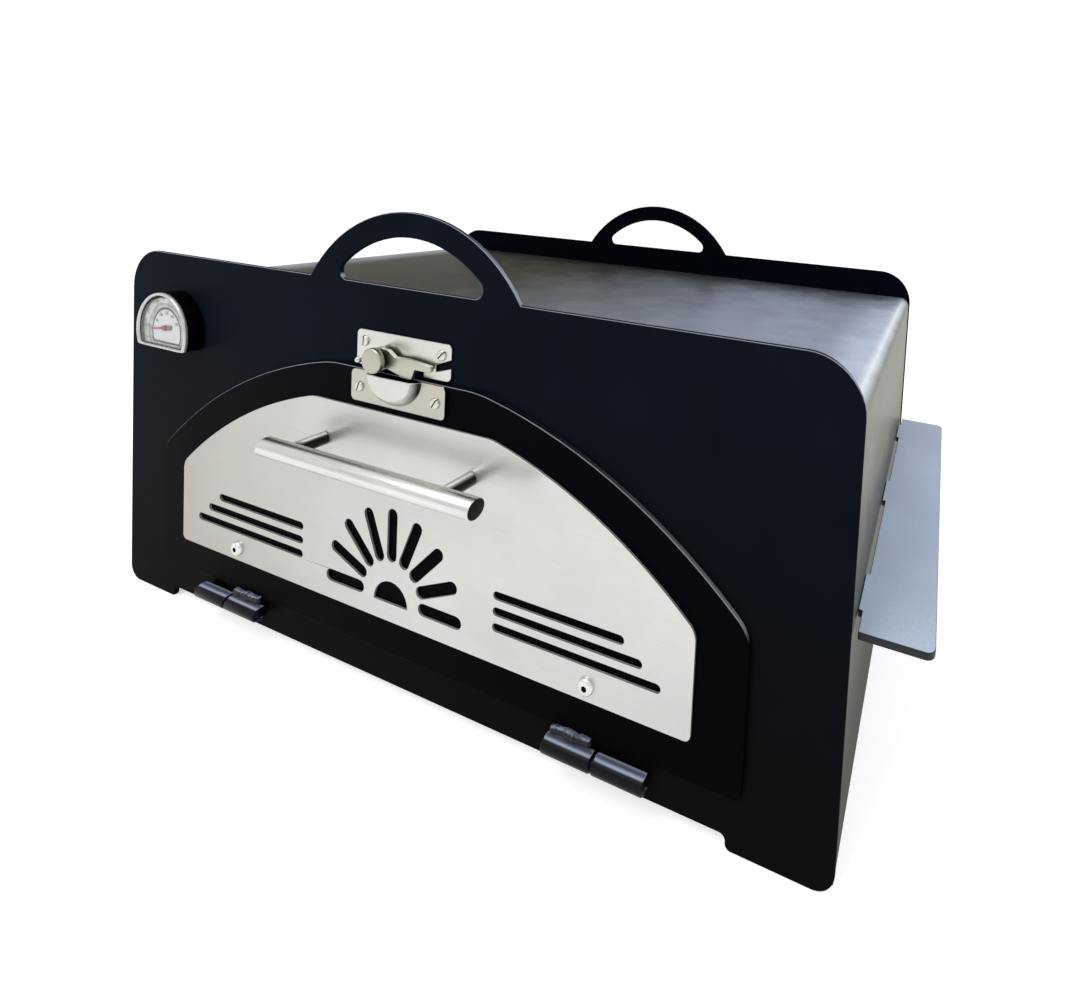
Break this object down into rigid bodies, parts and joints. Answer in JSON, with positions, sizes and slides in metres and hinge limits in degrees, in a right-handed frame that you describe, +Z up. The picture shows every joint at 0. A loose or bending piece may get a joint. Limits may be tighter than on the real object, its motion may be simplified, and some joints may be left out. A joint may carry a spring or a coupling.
{
  "type": "grill-top pizza oven",
  "caption": "Low sheet-steel pizza oven that stands on a grill: arched drop-down door with a turn latch, carry arches, a dial thermometer and a stone inside.",
  "frame": {"origin": "on the surface that the feet stand on, under the middle of the whole oven's box", "axes": "+X to the right along the front, +Y from the door to the back plate, +Z up"},
  "size_m": [0.6406, 0.3426, 0.3268],
  "materials": {
    "black_powder_coat": "fine satin black powder coat",
    "mill_finish_sheet": "mill finish sheet with a soft mottled sheen",
    "shelf_coat": "blue-grey fine textured coat",
    "brushed_stainless": "brushed stainless steel",
    "nickel_plate": "warm satin nickel plate",
    "chrome": "bright chrome plate",
    "white_dial": "matt white enamel with plain black ticks",
    "red_pointer": "red lacquer",
    "clear_glass": "clear flat glass",
    "cordierite": "dry porous sand-coloured ceramic"
  },
  "bodies": {
    "root": {"front_plate": "black_powder_coat", "back_plate": "black_powder_coat", "shell": "mill_finish_sheet", "side_shelf": "shelf_coat", "deck_plate": "mill_finish_sheet", "pizza_stone": "cordierite", "stone_rail_left": "mill_finish_sheet", "stone_rail_right": "mill_finish_sheet", "hinge_left_frame_knuckle": "black_powder_coat", "hinge_right_frame_knuckle": "black_powder_coat", "hinge_left_pin": "brushed_stainless", "hinge_right_pin": "brushed_stainless", "latch_plate": "nickel_plate", "latch_rivet": "nickel_plate", "latch_screw_left": "nickel_plate", "latch_screw_right": "nickel_plate", "thermometer_case": "chrome", "thermometer_dial": "white_dial", "thermometer_glass": "clear_glass", "thermometer_stem": "brushed_stainless", "thermometer_nut": "brushed_stainless"},
    "door": {"door_panel": "black_powder_coat", "door_facing": "brushed_stainless", "facing_screw_left": "brushed_stainless", "facing_screw_right": "brushed_stainless", "facing_nut_left": "brushed_stainless", "facing_nut_right": "brushed_stainless", "handle_bar": "brushed_stainless", "handle_post_left": "brushed_stainless", "handle_post_right": "brushed_stainless", "handle_screw_left": "brushed_stainless", "handle_screw_right": "brushed_stainless", "hinge_left_door_knuckle": "black_powder_coat", "hinge_right_door_knuckle": "black_powder_coat", "keeper_plate": "nickel_plate", "keeper_screw_left": "nickel_plate", "keeper_screw_right": "nickel_plate"},
    "latch_lever": {"latch_lever": "nickel_plate", "latch_washer": "brushed_stainless", "latch_nut": "brushed_stainless"},
    "thermometer_needle": {"thermometer_needle": "red_pointer", "thermometer_spindle": "brushed_stainless"}
  },
  "joints": [
    {"name": "door_hinge", "type": "hinge", "parent": "root", "child": "door", "pos_m": [-0.02025, -0.14305, 0.0235], "axis": [1, 0, 0], "range_deg": [0, 87.5]},
    {"name": "latch_turn", "type": "hinge", "parent": "root", "child": "latch_lever", "pos_m": [-0.03425, -0.13775, 0.2306], "axis": [0, -1, 0], "range_deg": [0, 70]},
    {"name": "needle_turn", "type": "hinge", "parent": "root", "child": "thermometer_needle", "pos_m": [-0.25675, -0.13775, 0.221], "axis": [0, 1, 0], "range_deg": [0, 195]}
  ]
}
